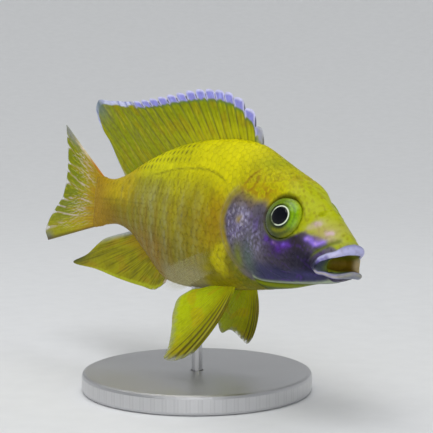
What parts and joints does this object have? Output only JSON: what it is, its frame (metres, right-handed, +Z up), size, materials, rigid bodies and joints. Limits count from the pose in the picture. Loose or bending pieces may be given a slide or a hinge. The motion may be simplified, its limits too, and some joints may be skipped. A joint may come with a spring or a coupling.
{
  "type": "peacock cichlid display model",
  "caption": "Life-size still model of a swimming male peacock cichlid, mouth ajar and fins spread, banked on one rod over a round display base.",
  "frame": {"origin": "centre of the flat underside of the stand's base", "axes": "+X the way the fish heads, +Y its left side, +Z up"},
  "size_m": [0.1279, 0.054, 0.0703],
  "materials": {
    "face_skin": "moist, slate purple with yellow-green above",
    "scaled_skin": "moist scales, yellow with grey-beige bars",
    "eye": "wet and glossy",
    "fin": "ribbed, thin, yellow-olive",
    "clear_fin": "ribbed and see-through",
    "stand_steel": "brushed"
  },
  "bodies": {
    "root": {"head": "face_skin", "lower_jaw": "face_skin", "gill_cover_left": "face_skin", "gill_cover_right": "face_skin", "trunk": "scaled_skin", "tail_stalk": "scaled_skin", "eye_left": "eye", "eye_right": "eye", "dorsal_fin": "fin", "anal_fin": "fin", "caudal_fin": "fin", "pelvic_fin_left": "fin", "pelvic_fin_right": "fin", "pectoral_fin_left": "clear_fin", "pectoral_fin_right": "clear_fin", "stand_base": "stand_steel", "stand_rod": "stand_steel"}
  },
  "joints": []
}
